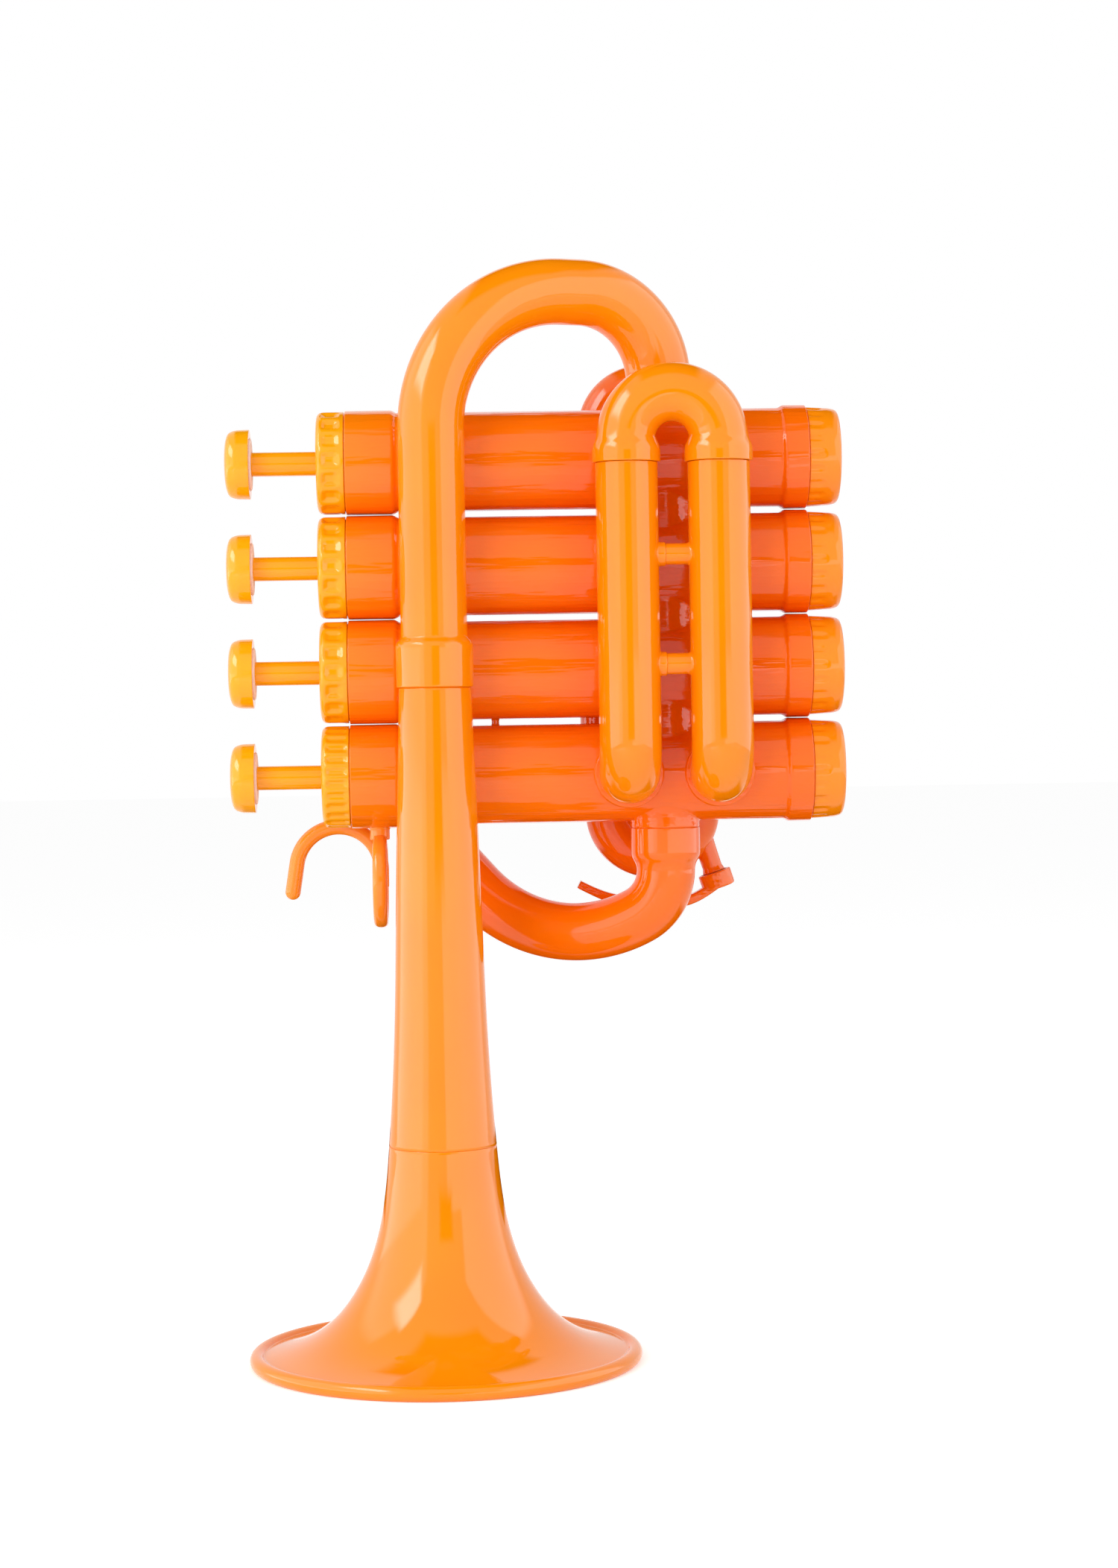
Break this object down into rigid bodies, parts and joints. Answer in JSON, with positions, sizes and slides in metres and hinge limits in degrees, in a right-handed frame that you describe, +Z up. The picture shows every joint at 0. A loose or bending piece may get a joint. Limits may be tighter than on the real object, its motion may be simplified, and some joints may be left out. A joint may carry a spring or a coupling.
{
  "type": "piccolo trumpet",
  "caption": "Small plastic brass instrument standing on its bell: flared bell, looped tubing, piston valves with finger buttons, pull slides and a water key.",
  "frame": {"origin": "below the middle of the whole part's box, on the plane that the bell's rim stands on", "axes": "+Z up along the bell's axis; +X along the valves from the finger buttons to the bottom caps; +Y from the bell side back to the mouthpipe side"},
  "size_m": [0.1616, 0.1154, 0.2845],
  "materials": {
    "light_orange": "glossy moulded plastic",
    "deep_orange": "glossy moulded plastic",
    "yellow_orange": "glossy moulded plastic",
    "piston_plastic": "smooth machined",
    "felt": "pressed felt",
    "spring_steel": "drawn wire",
    "pin_steel": "ground",
    "cork": "pressed cork"
  },
  "bodies": {
    "instrument": {"bell_flare": "light_orange", "bell_tail": "light_orange", "bell_bow": "light_orange", "valve_casing_1": "deep_orange", "top_cap_1": "yellow_orange", "bottom_cap_1": "yellow_orange", "valve_guide_1": "piston_plastic", "valve_casing_2": "deep_orange", "top_cap_2": "yellow_orange", "bottom_cap_2": "yellow_orange", "valve_guide_2": "piston_plastic", "valve_casing_3": "deep_orange", "top_cap_3": "yellow_orange", "bottom_cap_3": "yellow_orange", "valve_guide_3": "piston_plastic", "valve_casing_4": "deep_orange", "top_cap_4": "yellow_orange", "bottom_cap_4": "yellow_orange", "valve_guide_4": "piston_plastic", "crossover_1_2": "deep_orange", "crossover_2_3": "deep_orange", "crossover_3_4": "deep_orange", "slide_4_legs": "light_orange", "slide_4_braces": "light_orange", "slide_1_legs": "deep_orange", "slide_2_legs": "deep_orange", "slide_3_legs": "deep_orange", "tuning_crook": "deep_orange", "mouthpipe": "deep_orange", "body_posts": "deep_orange", "finger_hook": "deep_orange"},
    "valve_1": {"finger_button_1": "yellow_orange", "valve_felts_1": "felt", "valve_stem_1": "yellow_orange", "piston_1": "piston_plastic", "valve_spring_1": "spring_steel"},
    "valve_2": {"finger_button_2": "yellow_orange", "valve_felts_2": "felt", "valve_stem_2": "yellow_orange", "piston_2": "piston_plastic", "valve_spring_2": "spring_steel"},
    "valve_3": {"finger_button_3": "yellow_orange", "valve_felts_3": "felt", "valve_stem_3": "yellow_orange", "piston_3": "piston_plastic", "valve_spring_3": "spring_steel"},
    "valve_4": {"finger_button_4": "yellow_orange", "valve_felts_4": "felt", "valve_stem_4": "yellow_orange", "piston_4": "piston_plastic", "valve_spring_4": "spring_steel"},
    "slide_1": {"slide_1_bow": "deep_orange"},
    "slide_2": {"slide_2_bow": "deep_orange"},
    "slide_3": {"slide_3_bow": "deep_orange", "water_key_pin": "pin_steel"},
    "slide_4": {"slide_4_bow": "light_orange", "slide_4_inner_tubes": "light_orange"},
    "water_key": {"water_key_lever": "deep_orange", "water_key_cork": "cork"}
  },
  "joints": [
    {"name": "valve_1_press", "type": "slide", "parent": "instrument", "child": "valve_1", "axis": [1, 0, 0], "range_m": [0, 0.0169], "stiffness_N_per_m": 110, "springref_m": -0.014, "deforming": ["valve_spring_1"]},
    {"name": "valve_2_press", "type": "slide", "parent": "instrument", "child": "valve_2", "axis": [1, 0, 0], "range_m": [0, 0.0169], "stiffness_N_per_m": 110, "springref_m": -0.014, "deforming": ["valve_spring_2"]},
    {"name": "valve_3_press", "type": "slide", "parent": "instrument", "child": "valve_3", "axis": [1, 0, 0], "range_m": [0, 0.0169], "stiffness_N_per_m": 110, "springref_m": -0.014, "deforming": ["valve_spring_3"]},
    {"name": "valve_4_press", "type": "slide", "parent": "instrument", "child": "valve_4", "axis": [1, 0, 0], "range_m": [0, 0.0169], "stiffness_N_per_m": 110, "springref_m": -0.014, "deforming": ["valve_spring_4"]},
    {"name": "slide_1_pull", "type": "slide", "parent": "instrument", "child": "slide_1", "axis": [0, 1, 0], "range_m": [0, 0.007]},
    {"name": "slide_2_pull", "type": "slide", "parent": "instrument", "child": "slide_2", "axis": [0, 1, 0], "range_m": [0, 0.0045]},
    {"name": "slide_3_pull", "type": "slide", "parent": "instrument", "child": "slide_3", "axis": [0, 0, -1], "range_m": [0, 0.014]},
    {"name": "slide_4_pull", "type": "slide", "parent": "instrument", "child": "slide_4", "axis": [0, 0, 1], "range_m": [0, 0.035]},
    {"name": "water_key_press", "type": "hinge", "parent": "slide_3", "child": "water_key", "pos_m": [0.0319, 0.0388, 0.11605], "axis": [0, 1, 0], "range_deg": [0, 12], "stiffness_Nm_per_rad": 0.02, "springref_deg": -22.92}
  ]
}
